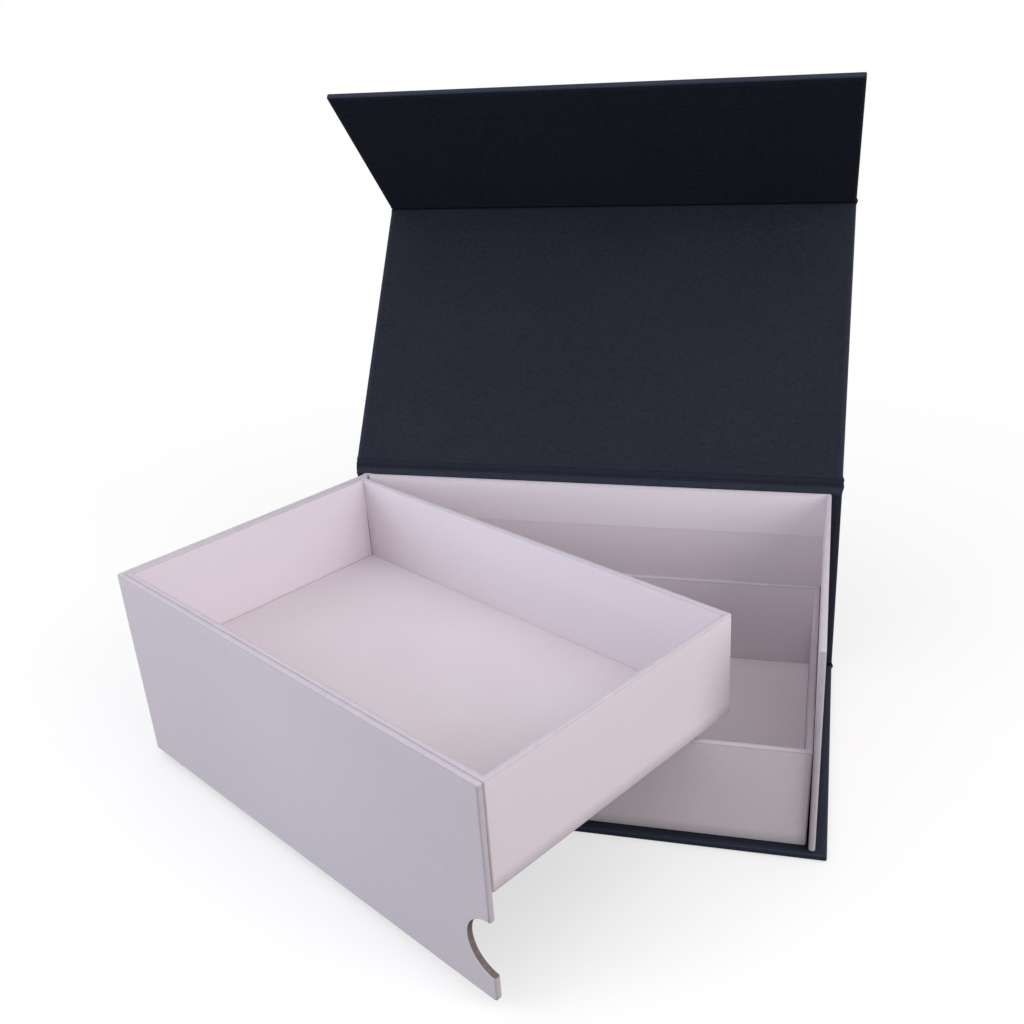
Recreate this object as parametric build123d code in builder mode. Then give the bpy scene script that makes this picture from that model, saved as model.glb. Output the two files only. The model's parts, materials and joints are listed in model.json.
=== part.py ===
from build123d import *

import os
from math import cos, radians, sin

# Rigid gift box that opens like a book, with an upper tray that swings out, in millimetres and degrees.
# X runs along the box, Y from front to back and Z up, from the middle of the base's underside.
# Greyboard panels are wrapped in paper. Every cover panel runs away from its fold line, which lies on
# the outer face of its board, and levels are measured outwards from that face.

# Sheet materials
board = 2.5
paper = 0.15

# White box and its two trays
box_length = 250.0
box_depth = 150.0
box_height = 100.0
swing_gap = 0.9
corner_clearance = 0.2
corner_radius = 0.3
panel_foot_gap = 0.3
seam_gap = 0.3
notch_radius = 13.5
notch_height = 25.6
between_trays = 2.0
tray_underlap = 15.0
lower_tray_left_gap = 0.6
lower_tray_right_gap = 1.1

# Cover: base, spine, lid and front flap
side_overhang = 5.0
front_lip = 1.6
turn_in = 20.0
liner_inset = 2.5
liner_lap = 0.3
fold_clearance = 0.2
crease_radius = 0.35
crease_nub = 0.8
crease_clearance = 0.15
leaf_clearance = 0.1
lid_gap = 0.5
flap_gap = 0.5
flap_foot_gap = 0.5

# Magnets in the flap and the steel discs that they meet in the front panel
magnet_radius = 5.0
magnet_thickness = 1.5
disc_radius = 6.0
disc_thickness = 0.8
pocket_clearance = 0.1
magnet_spacing = 160.0
magnet_drop = 80.0

# Angles of the rest pose, and the end of the lid's travel, which the gully's second fold takes
lid_open_angle = 128.2
lid_settle_angle = 6.0
flap_fold_angle = 85.3
tray_open_angle = 30.0

# Fold lines of the cover. The gully is the papered strip from a fold line to the board beside it.
wall = board + 2 * paper
gully = wall + fold_clearance
settle_rise = gully * sin(radians(lid_settle_angle))
settle_reach = gully * (1 - cos(radians(lid_settle_angle)))
closed_reach = wall + box_depth + flap_gap + wall
base_top = paper + wall
rim = base_top + box_height
lid_fold_z = rim + lid_gap + wall - settle_rise
cover_width = box_length + 2 * side_overhang
base_run = wall + box_depth + front_lip
fold_y = (base_run - paper) / 2
spine_run = lid_fold_z - paper
lid_run = closed_reach + settle_reach
flap_run = lid_fold_z + settle_rise - base_top - flap_foot_gap

# Outside of the white box, the far edge of its swinging panel, and the trays
left = -box_length / 2
right = box_length / 2
back = fold_y - wall
front = back - box_depth
free_edge = right - wall - swing_gap
tray_front = front + wall + seam_gap
tray_depth = (box_height - between_trays) / 2


def fold_plane(y, z, angle):
    """Outer face of a panel that leaves its fold line at (y, z), angle degrees above the level front."""
    return Plane(origin=(0, y, z), x_dir=(1, 0, 0), z_dir=(0, sin(radians(angle)), cos(radians(angle))))


base_plane = Plane(origin=(0, fold_y, paper), x_dir=(-1, 0, 0), z_dir=(0, 0, -1))
spine_plane = fold_plane(fold_y, paper, 90)
lid_plane = fold_plane(fold_y, lid_fold_z, lid_open_angle)
flap_line = lid_plane.origin - lid_plane.y_dir * lid_run
flap_plane = fold_plane(flap_line.Y, flap_line.Z, lid_open_angle - flap_fold_angle)

# The swinging pieces are drawn at their closed place in the box's plan, on this plane, which is that plan
# turned outwards about the paper fold of the back left corner. Its front face stands on panel_face.
hinge = Vector(left + corner_radius, back - corner_radius, 0)
swing_x = Vector(cos(radians(tray_open_angle)), -sin(radians(tray_open_angle)), 0)
swing_y = Vector(sin(radians(tray_open_angle)), cos(radians(tray_open_angle)), 0)
swung_origin = hinge - swing_x * hinge.X - swing_y * hinge.Y
swung_plan = Plane(origin=swung_origin, x_dir=swing_x, z_dir=(0, 0, 1))
panel_face = Plane(origin=swung_origin + swing_y * front, x_dir=swing_x, z_dir=-swing_y)

pieces = {}


def finish(name, builder):
    """Label a finished sub-part and keep it for the export."""
    builder.part.label = name
    pieces[name] = builder.part


def layer(plane, level, height, width, start, end, mode=Mode.ADD):
    """Layer of a cover panel, from a level up by its height and from start to end along the panel."""
    with BuildSketch(plane.offset(level)) as outline:
        with Locations((0, -(start + end) / 2)):
            Rectangle(width, end - start)
    extrude(outline.sketch, amount=height, mode=mode)


def block(plan, bottom, top, x_range, y_range, mode=Mode.ADD):
    """Upright block over a rectangle of the box's plan."""
    with BuildSketch(plan.offset(bottom)) as outline:
        with Locations((sum(x_range) / 2, sum(y_range) / 2)):
            Rectangle(x_range[1] - x_range[0], y_range[1] - y_range[0])
    extrude(outline.sketch, amount=top - bottom, mode=mode)


def grown(ranges, amount):
    """The (x, y) ranges of a rectangle with every side moved outwards."""
    return [(low - amount, high + amount) for low, high in ranges]


def bead(plane, radius, run=0.0, depth=0.0, nub=crease_nub):
    """Pressed bead along a fold line, a run along the panel and a depth inside its outer face, with a
    small nub of paper past each side of the cover."""
    with BuildSketch(Plane(origin=plane.origin, x_dir=plane.y_dir, z_dir=plane.x_dir)) as section:
        with Locations((-run, -depth)):
            Circle(radius)
    extrude(section.sketch, amount=cover_width / 2 + nub, both=True)


def disc_pair(height, radius):
    """Two circles at the magnets' spacing, about the middle of the box's length."""
    with Locations((0, height)):
        with GridLocations(magnet_spacing, 0, 2, 1):
            Circle(radius)


def thumb_notch():
    """Cut the half-round thumb notch through the swinging panel's free edge."""
    with BuildSketch(panel_face) as outline:
        with Locations((free_edge, base_top + notch_height)):
            Circle(notch_radius)
    extrude(outline.sketch, amount=-wall, mode=Mode.SUBTRACT)


def cover_board(name, plane, start, end):
    """Greyboard of a cover panel, set in by the paper at all its edges."""
    with BuildPart() as greyboard:
        layer(plane, -board, board, cover_width - 2 * paper, start + paper, end - paper)
    finish(name, greyboard)


def cover_paper(name, plane, start, end, skin, free=False):
    """Outer paper of a panel: its skin, the wraps round the sides and free edge, and the turn-ins."""
    wrap_end = end if free else end - paper
    window_end = end - turn_in if free else wrap_end
    with BuildPart() as outer_paper:
        layer(plane, 0, paper, cover_width, *skin)
        layer(plane, 0, -board - paper, cover_width, start + paper, wrap_end)
        layer(plane, 0, -board, cover_width - 2 * paper, start + paper, end - paper, Mode.SUBTRACT)
        window = cover_width - 2 * turn_in
        layer(plane, -board, -paper, window, start + paper, window_end, Mode.SUBTRACT)
    finish(name, outer_paper)


def cover_liner(name, plane, start, end, skin, free=False):
    """Inner paper of a panel. It lies on the board inside the turn-ins, steps up over them, and steps
    down over the board's folded edges into the gullies, where skin gives its reach."""
    liner_width = cover_width - 2 * liner_inset
    sheet_width = cover_width - 2 * turn_in
    sheet_end = end - turn_in if free else end
    liner_end = end - liner_inset if free else end
    lap_end = sheet_end - liner_lap if free else end
    with BuildPart() as inner_paper:
        layer(plane, -board, -paper, sheet_width, start, sheet_end)
        layer(plane, -board - paper, -paper, liner_width, start, liner_end)
        layer(plane, -board - paper, -paper, sheet_width - 2 * liner_lap, start, lap_end, Mode.SUBTRACT)
        layer(plane, 0, -board - paper, liner_width, start, start + paper)
        if skin[0] < start:
            layer(plane, 0, -paper, liner_width, skin[0], start)
        if not free:
            layer(plane, 0, -board - paper, liner_width, end - paper, end)
        if skin[1] > end:
            layer(plane, 0, -paper, liner_width, end, skin[1])
    finish(name, inner_paper)


# Base, which the whole box stands on
cover_board("base_board", base_plane, gully, base_run)
cover_paper("base_cover_paper", base_plane, gully, base_run, (gully, base_run), free=True)
cover_liner("base_liner", base_plane, gully, base_run, (gully, base_run), free=True)

# Spine, glued behind the back wall. Its papers stop just short of the lid's crease.
spine_end = spine_run - gully
spine_skin = (gully, spine_run - crease_radius - crease_clearance)
cover_board("spine_board", spine_plane, gully, spine_end)
cover_paper("spine_cover_paper", spine_plane, gully, spine_end, spine_skin)
cover_liner("spine_liner", spine_plane, gully, spine_end, spine_skin)

# Fold between base and spine, with the pressed papers of both gullies. Its bead stays above the floor.
with BuildPart() as base_crease_fold:
    layer(base_plane, -paper, 2 * paper, cover_width, 0, gully)
    layer(spine_plane, -paper, 2 * paper, cover_width, 0, gully)
    bead(spine_plane, crease_radius, crease_radius - paper, crease_radius - paper)
finish("base_crease_fold", base_crease_fold)

# Papered strip between the lid's crease and the second fold, at the lid board's edge
with BuildPart() as lid_gully_strip:
    layer(lid_plane, -paper, 2 * paper, cover_width, 0, gully)
    bead(lid_plane, crease_radius)
    bead(lid_plane, paper, run=gully, nub=0)
finish("lid_gully_strip", lid_gully_strip)

# Lid, with the fold that carries the flap
lid_start = gully + paper + leaf_clearance
lid_end = lid_run - gully
cover_board("lid_board", lid_plane, lid_start, lid_end)
cover_paper("lid_cover_paper", lid_plane, lid_start, lid_end, (lid_start, lid_end))
cover_liner("lid_liner", lid_plane, lid_start, lid_end, (lid_start, lid_end))
with BuildPart() as flap_crease_fold:
    layer(lid_plane, -paper, 2 * paper, cover_width, lid_end, lid_run)
    bead(flap_plane, crease_radius)
finish("flap_crease_fold", flap_crease_fold)

# Front flap, with a pocket in its board for each magnet
flap_skin = (crease_radius + crease_clearance, flap_run)
cover_paper("flap_cover_paper", flap_plane, gully, flap_run, flap_skin, free=True)
cover_liner("flap_liner", flap_plane, gully, flap_run, flap_skin, free=True)
with BuildPart() as flap_board:
    layer(flap_plane, -board, board, cover_width - 2 * paper, gully + paper, flap_run - paper)
    with BuildSketch(flap_plane.offset(-board)):
        disc_pair(-magnet_drop, magnet_radius + pocket_clearance)
    extrude(amount=magnet_thickness, mode=Mode.SUBTRACT)
finish("flap_board", flap_board)
with BuildPart() as flap_magnets:
    with BuildSketch(flap_plane.offset(-board)):
        disc_pair(-magnet_drop, magnet_radius)
    extrude(amount=magnet_thickness)
finish("flap_magnets", flap_magnets)

# Fixed walls. The back wall stops short of the left corner, where the tray's panels swing past it.
back_wall_x = (left + wall + corner_clearance + paper, right - paper - board)
back_wall_y = (back - paper - board, back - paper)
right_wall_x = (right - paper - board, right - paper)
right_wall_y = (front + paper, back - paper)
with BuildPart() as back_wall_board:
    block(Plane.XY, base_top, rim - paper, back_wall_x, back_wall_y)
finish("back_wall_board", back_wall_board)
with BuildPart() as right_wall_board:
    block(Plane.XY, base_top, rim - paper, right_wall_x, right_wall_y)
finish("right_wall_board", right_wall_board)
with BuildPart() as fixed_wall_wrap:
    block(Plane.XY, base_top, rim, *grown((back_wall_x, back_wall_y), paper))
    block(Plane.XY, base_top, rim, *grown((right_wall_x, right_wall_y), paper))
    block(Plane.XY, base_top, rim - paper, back_wall_x, back_wall_y, Mode.SUBTRACT)
    block(Plane.XY, base_top, rim - paper, right_wall_x, right_wall_y, Mode.SUBTRACT)
finish("fixed_wall_wrap", fixed_wall_wrap)

# Paper web and pressed fold at the back left corner, which the upper tray swings on
with BuildPart() as tray_crease_fold:
    web_x = (hinge.X, left + wall + corner_clearance)
    block(Plane.XY, base_top, rim, web_x, (back - 2 * paper, back))
    with BuildSketch(Plane.XY.offset(base_top)):
        with Locations((hinge.X, hinge.Y)):
            Circle(corner_radius)
    extrude(amount=box_height)
finish("tray_crease_fold", tray_crease_fold)

# Swinging walls: the left panel and the tall front panel with its thumb notch
panel_foot = base_top + panel_foot_gap
panel_back = back - 2 * corner_radius - leaf_clearance
disc_height = lid_fold_z + settle_rise - magnet_drop
front_panel_x = (left + paper, free_edge - paper)
front_panel_y = (front + paper, front + paper + board)
left_panel_x = (left + paper, left + paper + board)
left_panel_y = (front + paper + board, panel_back - paper)
with BuildPart() as left_panel_board:
    block(swung_plan, panel_foot, rim - paper, left_panel_x, left_panel_y)
finish("left_panel_board", left_panel_board)
with BuildPart() as front_panel_board:
    block(swung_plan, panel_foot, rim - paper, front_panel_x, front_panel_y)
    thumb_notch()
    with BuildSketch(panel_face.offset(-paper)):
        disc_pair(disc_height, disc_radius + pocket_clearance)
    extrude(amount=-disc_thickness, mode=Mode.SUBTRACT)
finish("front_panel_board", front_panel_board)
with BuildPart() as moving_wall_wrap:
    block(swung_plan, panel_foot, rim, *grown((left_panel_x, left_panel_y), paper))
    block(swung_plan, panel_foot, rim, *grown((front_panel_x, front_panel_y), paper))
    block(swung_plan, panel_foot, rim - paper, left_panel_x, left_panel_y, Mode.SUBTRACT)
    block(swung_plan, panel_foot, rim - paper, front_panel_x, front_panel_y, Mode.SUBTRACT)
    thumb_notch()
finish("moving_wall_wrap", moving_wall_wrap)
with BuildPart() as panel_steel_discs:
    with BuildSketch(panel_face.offset(-paper)):
        disc_pair(disc_height, disc_radius)
    extrude(amount=-disc_thickness)
finish("panel_steel_discs", panel_steel_discs)


def tray(name, plan, bottom, x_range, y_range):
    """Open tray of a floor and four wall boards, wrapped inside and out, with a paper on its floor."""
    outside = (x_range, y_range)
    boards = grown(outside, -paper)
    floor = grown(boards, -board)
    inside = grown(floor, -paper)
    floor_top = bottom + paper + board
    top = bottom + tray_depth
    with BuildPart() as floor_board:
        block(plan, bottom + paper, floor_top, *floor)
    finish(name + "_floor_board", floor_board)
    walls = {
        "front_wall": (boards[0], (boards[1][0], floor[1][0])),
        "back_wall": (boards[0], (floor[1][1], boards[1][1])),
        "left_wall": ((boards[0][0], floor[0][0]), floor[1]),
        "right_wall": ((floor[0][1], boards[0][1]), floor[1]),
    }
    for side, ranges in walls.items():
        with BuildPart() as wall_board:
            block(plan, bottom + paper, top - paper, *ranges)
        finish(name + "_" + side, wall_board)
    with BuildPart() as wrap:
        block(plan, bottom, top, *outside)
        block(plan, bottom + paper, top - paper, *boards, Mode.SUBTRACT)
        block(plan, floor_top, top, *floor)
        block(plan, floor_top, top, *inside, Mode.SUBTRACT)
        block(plan, bottom, bottom + paper, *grown(outside, -tray_underlap), Mode.SUBTRACT)
    finish(name + "_wrap", wrap)
    with BuildPart() as floor_liner:
        block(plan, floor_top, floor_top + paper, *inside)
    finish(name + "_floor_liner", floor_liner)


# Upper tray, glued inside the swinging panels, and lower tray, fixed on the base
upper_tray_y = (tray_front, back - wall - swing_gap)
tray("upper_tray", swung_plan, rim - tray_depth, (left + wall, free_edge), upper_tray_y)
lower_tray_x = (left + wall + lower_tray_left_gap, right - wall - lower_tray_right_gap)
tray("lower_tray", Plane.XY, base_top, lower_tray_x, (tray_front, back - wall))

os.makedirs("parts", exist_ok=True)
for name, piece in pieces.items():
    export_step(piece, f"parts/{name}.step")
    print(name, len(piece.solids()), round(piece.volume, 1))
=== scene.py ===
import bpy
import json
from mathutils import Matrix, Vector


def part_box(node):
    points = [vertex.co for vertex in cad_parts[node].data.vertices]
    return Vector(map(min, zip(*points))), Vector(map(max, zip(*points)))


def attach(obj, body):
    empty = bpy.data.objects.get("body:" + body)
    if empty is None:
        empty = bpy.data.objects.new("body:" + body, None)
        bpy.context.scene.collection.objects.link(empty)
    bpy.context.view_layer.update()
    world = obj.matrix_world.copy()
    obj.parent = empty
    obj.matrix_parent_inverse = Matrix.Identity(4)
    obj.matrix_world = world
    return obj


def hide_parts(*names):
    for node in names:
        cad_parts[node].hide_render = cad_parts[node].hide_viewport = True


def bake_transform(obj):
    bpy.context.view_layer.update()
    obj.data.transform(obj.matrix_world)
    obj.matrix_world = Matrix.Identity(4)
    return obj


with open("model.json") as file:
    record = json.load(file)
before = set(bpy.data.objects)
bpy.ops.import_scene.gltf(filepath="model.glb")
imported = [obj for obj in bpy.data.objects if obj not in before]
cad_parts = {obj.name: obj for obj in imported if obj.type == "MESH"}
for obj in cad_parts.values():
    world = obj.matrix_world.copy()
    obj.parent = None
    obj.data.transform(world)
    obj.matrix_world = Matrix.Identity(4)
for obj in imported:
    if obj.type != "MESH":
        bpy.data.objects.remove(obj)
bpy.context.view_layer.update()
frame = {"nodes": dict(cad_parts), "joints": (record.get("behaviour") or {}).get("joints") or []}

import json
from math import cos, pi, radians, sin

import bmesh
import bpy
import numpy as np
from mathutils import Matrix, Vector

# Hinged gift box of paper-wrapped greyboard, in millimetres and degrees until a mesh is made.
# X runs along the box, Y from front to back and Z up, as in the frame.
MM = 0.001

# Sheet materials and the soft edge that paper takes over a board
BOARD = 2.5
PAPER = 0.15
WALL = BOARD + 2 * PAPER
PALE_RADIUS = 0.9
NAVY_RADIUS = 0.7
EDGE_STEPS = 5

# Navy cover. Each panel runs from its fold line, and levels count outwards from its board's outer face.
COVER_HALF = 130.0
FLAP_RUN = 102.8
GULLY = 3.0
LID_GAP = 0.1
LID_START = GULLY + PAPER + LID_GAP
FLAP_FOLD = 85.3
LID_OPEN = 128.2
PANEL_INSIDE = -BOARD - PAPER

# Inner papers of the cover, which go down a board's folded edge and climb over the turned-in papers
LINER_LEVEL = -2.70
LINER_INSET = 2.5
LINER_PROUD = 0.1
LINER_BEND = 0.4
LINER_DEPTH = 0.8
LINER_THICKNESS = 0.12
LAP_RISE = 0.10
LAP_SLOPE = 0.7
LAP_REACH = 14
LAP_FINE = 0.6
FREE_END_TURN_IN = 20

# Gullies: the two pressed papers, their slopes down from the boards, and the beads with their nubs
FOLD_OUTER = 0.16
FOLD_INNER = 0.15
SOFT_FOLD = 0.7
SOFT_FLAP_FOLD = 0.9
SLOPE_LAP = 0.9
SLOPE_BEND = 0.1
SLOPE_TOP = -2.73
SLOPE_FOOT = -0.12
UNDER_TOP = -1.6
UNDER_FOOT = 0.02
CREASE_RADIUS = 0.35
BEAD_SLIMMER = 0.9
NUB_WIDTH = 0.4
NUB_REACH = 0.8
FLARE_SPAN = 1.6

# White box and the swinging walls
PANEL_FOOT = 3.25
SWING = 30.0
SWING_GAP = 0.9
NOTCH_RADIUS = 13.5
NOTCH_HEIGHT = 25.6
NOTCH_PAPER_GAP = 0.06
FREE_EDGE_REACH = 45
FOOT_ROUND = 2.2
FOOT_ROWS = np.array([0.1, 0.2, 0.45, 0.65, 0.9, 1.1, 1.3])
WRAP_LINE = 79.95
WRAP_PROUD = 0.09
WRAP_SLOPE = 0.5
WRAP_FINE = 0.4
LOOKS_INWARDS = 0.3

# Back left corner: where the walls end, and the paper hinge round it. Its outer face is given by run
# from the fold and level, first along the back and then along the swung panel.
BACK_WALL_GAP = 0.2
PANEL_SET_BACK = 0.7
HINGE_BEND = 0.45
HINGE_OUTER = 0.3
HINGE_INNER = 0.02
HINGE_FOOT = (0.05, 0.3)
HINGE_TOP = (0.35, 0.12)
BACK_TUCK = ((4.0, 0.18), (3.5, 0.26), (3.0, 0.3), (2.0, 0.3), (1.0, 0.3), (0.5, 0.3))
PANEL_TUCK = ((0.4, 0.3), (0.8, 0.3), (1.2, 0.29), (1.6, 0.25), (2.0, 0.18))

# Trays: wrap turned in underneath, joint lines in the inner corners, and the paper on the floor
TRAY_HEIGHT = 49.0
TRAY_CLEARANCE = 0.02
TRAY_TURN_IN = 15.0
TRAY_FOOT_ROW = 0.4
INNER_FOOT_STEP = 0.3
TRAY_JOINT = 0.5
CORNER_LINE = 24.0
FLOOR_TUCK = 0.1
FLOOR_PAPER_GAP = 0.15
FLOOR_PAPER_SINK = 0.02
FLOOR_WAVE = 0.06
FLOOR_WAVE_LENGTHS = (41.0, 33.0)
LOWER_TRAY_LEAN = 0.95

# Distances between rows of points. Closer rows lie next to each end and round every fine place.
ROW_STEP = 5.0
PANEL_STEP = 6.0
FLOOR_STEP = 8.0
FOLD_STEP = 10.0
BLOCK_STEP = 30.0
END_ROW = 0.3
FINE_ROWS = np.array([-2, -1, -0.6, -0.3, 0, 0.3, 0.6, 1, 2])
ROW_DECIMALS = 4

# How many points each curve has
NOTCH_POINTS = 33
SLOPE_POINTS = 11
HINGE_POINTS = 7
FOLD_POINTS = (8, 9, 8)
BEAD_POINTS = 13
FLOOR_POINTS = 65

# Meshes: points nearer than the first are one, in metres, and shading breaks past the angle. A number
# within the tolerance is nought.
MERGE_DISTANCE = 2e-6
SLIVER_LENGTH = 1e-7
SHARP_ANGLE = 50
TOLERANCE = 0.01
HAIR = 1e-6

joints = {joint["name"]: joint for joint in frame["joints"]}


def joint_point(name):
    """A joint's place in millimetres."""
    return np.array(joints[name]["pos_m"]) / MM


def node_box(name):
    """A frame node's lowest and highest corners in millimetres."""
    low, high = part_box(name)
    return np.array(low) / MM, np.array(high) / MM


wall_low, wall_high = node_box("right_wall_board")
RIGHT, BACK = wall_high[:2] + PAPER
LEFT, FRONT = -RIGHT, wall_low[1] - PAPER
BASE_TOP, RIM = wall_low[2], wall_high[2] + PAPER
FREE_EDGE = RIGHT - WALL - SWING_GAP
NOTCH_Z = BASE_TOP + NOTCH_HEIGHT


# ---------------------------------------------------------------- places


def panel_place(origin, angle):
    """A cover panel's fold line, the way it runs from it and the way its outer face looks."""
    turn = radians(angle)
    along, out = np.array([0, -cos(turn), sin(turn)]), np.array([0, sin(turn), cos(turn)])
    return np.array(origin, float), along, out


def on_panel(place, x, run, level):
    """Points at x along the fold, a run from it and a level above the outer board face."""
    origin, along, out = place
    x, run, level = np.broadcast_arrays(x, run, level)
    points = origin + run[..., None] * along + level[..., None] * out
    points[..., 0] += x
    return points


LID_CREASE = joint_point("lid_hinge")
LID_SETTLE = joint_point("lid_settle")
FLAP_CREASE = joint_point("flap_hinge")
CORNER_FOLD = joint_point("tray_swing")
SPINE_FOOT = np.array([0.0, LID_CREASE[1], PAPER])
BASE_BEAD = SPINE_FOOT + [0, -0.2, 0.22]
SPINE_RUN = LID_CREASE[2] - PAPER
LID_RUN = float(np.linalg.norm(FLAP_CREASE - LID_CREASE))
BASE_RUN = LID_CREASE[1] - node_box("base_board")[0][1] + PAPER
base_place = (SPINE_FOOT, np.array([0.0, -1.0, 0.0]), np.array([0.0, 0.0, -1.0]))
spine_place = panel_place(SPINE_FOOT, 90)
lid_place = panel_place(LID_CREASE, LID_OPEN)
flap_place = panel_place(FLAP_CREASE, LID_OPEN - FLAP_FOLD)


def swung(points):
    """Points of the closed box's plan, turned outwards about the corner fold."""
    turn = -radians(SWING)
    x, y = points[..., 0] - CORNER_FOLD[0], points[..., 1] - CORNER_FOLD[1]
    turned = points.copy()
    turned[..., 0] = CORNER_FOLD[0] + x * cos(turn) - y * sin(turn)
    turned[..., 1] = CORNER_FOLD[1] + x * sin(turn) + y * cos(turn)
    return turned


def as_drawn(points):
    """Points that stay where the closed box's plan has them."""
    return points


def leant(points):
    """The lower tray's sides lean a little to the right, more towards the rim."""
    moved = points.copy()
    moved[..., 0] += LOWER_TRAY_LEAN * (points[..., 2] - BASE_TOP) / TRAY_HEIGHT
    return moved


# ---------------------------------------------------------------- meshes


def smooth(value):
    """0 below 0, 1 above 1, and a smooth rise between."""
    value = np.clip(value, 0, 1)
    return value * value * (3 - 2 * value)


def climb(distance, slope):
    """A smooth rise from 0 to 1 about a distance of 0, over the width of the slope."""
    return smooth(distance / slope + 0.5)


def rows(start, end, step, fine=(), reach=0.0):
    """Stations from start to end, with closer ones next to both ends and round each fine place."""
    count = max(2, int(abs(end - start) / step) + 1)
    inwards = END_ROW * np.sign(end - start)
    found = [np.linspace(start, end, count), [start + inwards, end - inwards]]
    for place in fine:
        found.append(place + reach * FINE_ROWS)
    found = np.unique(np.round(np.concatenate(found), ROW_DECIMALS))
    found = found[(found >= min(start, end)) & (found <= max(start, end))]
    return found if end > start else found[::-1]


def make_piece(name, points, material, body=None, replaced=(), edge=None, closed=True):
    """Quads over a grid of points, in rows and columns, closed from the last row to the first. Doubles
    are merged, faces look outwards, and an edge value per point is 1 where the paper turns over a board
    and -1 where a wall's inner face is lined with a second sheet."""
    row_count, column_count = points.shape[:2]
    index = np.arange(row_count * column_count).reshape(row_count, column_count)
    if closed:
        index = np.vstack([index, index[:1]])
    quads = np.stack([index[:-1, :-1], index[1:, :-1], index[1:, 1:], index[:-1, 1:]], -1).reshape(-1, 4)
    mesh = bpy.data.meshes.new(name)
    mesh.from_pydata((points.reshape(-1, 3) * MM).tolist(), [], quads.tolist())
    values = np.zeros(row_count * column_count) if edge is None else edge.ravel()
    attribute = mesh.attributes.new("edge", "FLOAT", "POINT")
    attribute.data.foreach_set("value", values.astype(np.float32))
    work = bmesh.new()
    work.from_mesh(mesh)
    bmesh.ops.remove_doubles(work, verts=work.verts, dist=MERGE_DISTANCE)
    bmesh.ops.dissolve_degenerate(work, edges=work.edges, dist=SLIVER_LENGTH)
    bmesh.ops.recalc_face_normals(work, faces=work.faces)
    work.to_mesh(mesh)
    work.free()
    mesh.polygons.foreach_set("use_smooth", np.ones(len(mesh.polygons), bool))
    mesh.set_sharp_from_angle(angle=radians(SHARP_ANGLE))
    mesh.materials.append(material)
    piece = bpy.data.objects.new(name, mesh)
    bpy.context.scene.collection.objects.link(piece)
    if body:
        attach(piece, body)
    if replaced:
        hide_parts(*replaced)
    return piece


def section_loop(a_range, b_range, radius, a_rows, b_rows):
    """A rounded rectangle walked once round, as its inner core points and the way out of each. A point
    of the outline is core + radius * way, and a smaller radius gives the outline nearer a rounded end."""
    (a0, a1), (b0, b1) = a_range, b_range
    turn = np.linspace(0, pi / 2, EDGE_STEPS + 1)[1:-1]
    found = []

    def side(*values):
        found.append(np.stack(np.broadcast_arrays(*values), -1).reshape(-1, 4))

    side(a_rows, b1 - radius, 0.0, 1.0)
    side(a1 - radius, b1 - radius, np.sin(turn), np.cos(turn))
    side(a1 - radius, b_rows[::-1], 1.0, 0.0)
    side(a1 - radius, b0 + radius, np.cos(turn), -np.sin(turn))
    side(a_rows[::-1], b0 + radius, 0.0, -1.0)
    side(a0 + radius, b0 + radius, -np.sin(turn), -np.cos(turn))
    side(a0 + radius, b_rows, -1.0, 0.0)
    side(a0 + radius, b1 - radius, -np.cos(turn), np.sin(turn))
    loop = np.concatenate(found)
    return loop[:, :2], loop[:, 2:]


def end_stations(radius):
    """How far a rounded end reaches past its core, and the radius left there, from the cap inwards."""
    turn = np.linspace(pi / 2, 0, EDGE_STEPS + 1)
    return radius * np.sin(turn), radius * np.cos(turn)


def rounded_length(half, radius, step):
    """Stations along X from one rounded end to the other, and the radius left at each."""
    reach, left = end_stations(radius)
    middle = rows(-half + radius, half - radius, step)[1:-1]
    x = np.concatenate([-half + radius - reach, middle, (half - radius + reach)[::-1]])
    return x, np.concatenate([left, np.full(len(middle), radius), left[::-1]])


def wrapped_panel(place, x_half, runs, levels, radius=NAVY_RADIUS, step=PANEL_STEP):
    """Points of a board wrapped in paper: a rounded rectangle of run and level, carried along X, that
    shrinks to its core over each end as a quarter circle, and closes there on its middle line."""
    core, way = section_loop(runs, levels, radius, rows(runs[0] + radius, runs[1] - radius, step),
                             np.array([levels[0] + radius, levels[1] - radius]))
    x, size = rounded_length(x_half, radius, step)
    x, size = np.concatenate([[-x_half], x, [x_half]]), np.concatenate([[0], size, [0]])
    run = core[:, :1] + way[:, :1] * size
    level = core[:, 1:] + way[:, 1:] * size
    level[:, [0, -1]] = sum(levels) / 2
    at_end = (np.abs(x) > x_half - radius - TOLERANCE)[None, :]
    on_side = (np.abs(way[:, 0]) > TOLERANCE)[:, None]
    edge = np.where(at_end | on_side, 1.0, 0.0)
    return on_panel(place, x[None, :], run, level), edge


def board_block(x_range, y_range, z_range):
    """Points of a greyboard piece with slightly rounded edges, as it lies in the closed box's plan."""
    place = (np.array([sum(x_range) / 2, 0.0, 0.0]), np.array([0.0, 1.0, 0.0]), np.array([0.0, 0.0, 1.0]))
    half = (x_range[1] - x_range[0]) / 2
    return wrapped_panel(place, half, y_range, z_range, PALE_RADIUS - PAPER, BLOCK_STEP)[0]


def closed_sheet(top, bottom):
    """A thin closed sheet between two grids: out over the top, back under the bottom, and closed at the
    first and last column on the middle line between them."""
    ring = np.concatenate([top, bottom[::-1]])
    ends = (top[:, [0, -1]] + bottom[:, [0, -1]]) / 2
    ends = np.concatenate([ends, ends[::-1]])
    return np.concatenate([ends[:, :1], ring, ends[:, 1:]], axis=1)


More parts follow.
